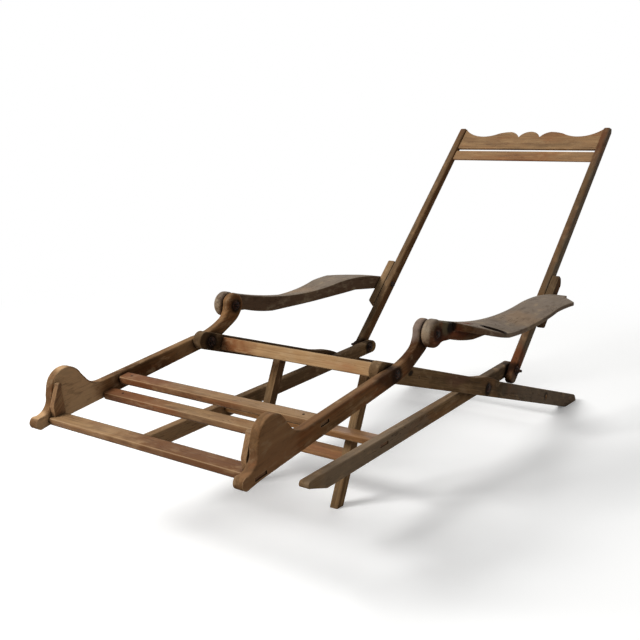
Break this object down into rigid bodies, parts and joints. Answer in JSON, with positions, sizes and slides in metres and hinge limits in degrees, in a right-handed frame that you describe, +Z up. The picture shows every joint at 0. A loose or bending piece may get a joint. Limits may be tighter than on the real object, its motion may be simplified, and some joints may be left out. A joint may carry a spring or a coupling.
{
  "type": "steamer deck chair",
  "caption": "Folding wooden deck chair frame with a shaped foot rest, hollowed arms with outward wings and a tall back with a scalloped crest.",
  "frame": {"origin": "on the floor, at the middle of the footprint", "axes": "+Z up, +Y from the foot end towards the back, +X towards the sitter's left"},
  "size_m": [0.7584, 1.7246, 0.8103],
  "materials": {
    "weathered_wood": "weathered, worn and unvarnished",
    "pale_wood": "planed bare wood",
    "iron": "dark rusted iron"
  },
  "bodies": {
    "seat": {"seat_rail_left": "weathered_wood", "seat_rail_right": "weathered_wood", "seat_front_bar": "pale_wood", "seat_rear_stretcher": "weathered_wood", "prop_rod": "weathered_wood", "main_pivot_bolts": "iron", "main_pivot_nuts": "iron", "knee_pivot_bolts": "iron", "knee_pivot_nuts": "iron"},
    "spreader": {"spreader_leg_left": "weathered_wood", "spreader_leg_right": "weathered_wood", "spreader_bar": "weathered_wood", "back_pivot_bolts": "iron", "back_pivot_nuts": "iron"},
    "prop": {"prop_leg_left": "weathered_wood", "prop_leg_right": "weathered_wood", "prop_bar": "weathered_wood"},
    "back": {"back_stile_left": "weathered_wood", "back_stile_right": "weathered_wood", "crest_rail": "weathered_wood", "back_lower_rail": "weathered_wood", "arm_block_left": "weathered_wood", "arm_block_right": "weathered_wood", "arm_pin_studs": "iron", "arm_pin_nuts": "iron"},
    "foot": {"foot_rail_left": "weathered_wood", "foot_rail_right": "weathered_wood", "foot_bar": "weathered_wood", "calf_slat_front": "weathered_wood", "calf_slat_rear": "weathered_wood", "foot_batten_left": "weathered_wood", "foot_batten_right": "weathered_wood", "elbow_pivot_bolts": "iron", "elbow_pivot_nuts": "iron"},
    "arm_left": {"arm_left": "weathered_wood", "arm_pin_left": "iron"},
    "arm_right": {"arm_right": "weathered_wood", "arm_pin_right": "iron"}
  },
  "joints": [
    {"name": "spreader_fold", "type": "hinge", "parent": "seat", "child": "spreader", "pos_m": [0, 0.07213, 0.1795], "axis": [1, 0, 0], "range_deg": [0, 140]},
    {"name": "back_fold", "type": "hinge", "parent": "spreader", "child": "back", "pos_m": [0, 0.23788, 0.18877], "axis": [1, 0, 0], "range_deg": [-202.65, 0]},
    {"name": "foot_fold", "type": "hinge", "parent": "seat", "child": "foot", "pos_m": [0, -0.39459, 0.31819], "axis": [1, 0, 0], "range_deg": [0, 113.64]},
    {"name": "arm_left_fold", "type": "hinge", "parent": "foot", "child": "arm_left", "pos_m": [0, -0.28112, 0.38329], "axis": [1, 0, 0], "range_deg": [-126.65, 0]},
    {"name": "arm_right_fold", "type": "hinge", "parent": "foot", "child": "arm_right", "pos_m": [0, -0.28112, 0.38329], "axis": [1, 0, 0], "range_deg": [-126.65, 0]},
    {"name": "prop_fold", "type": "hinge", "parent": "seat", "child": "prop", "pos_m": [0, -0.26902, 0.28088], "axis": [1, 0, 0], "range_deg": [0, 114.8]}
  ],
  "couplings": [
    {"joint": "back_fold", "follows": "spreader_fold", "ratio": -1.4475},
    {"joint": "foot_fold", "follows": "spreader_fold", "ratio": 0.81169},
    {"joint": "arm_left_fold", "follows": "spreader_fold", "ratio": -0.90458},
    {"joint": "arm_right_fold", "follows": "spreader_fold", "ratio": -0.90458},
    {"joint": "prop_fold", "follows": "spreader_fold", "ratio": 0.82}
  ]
}
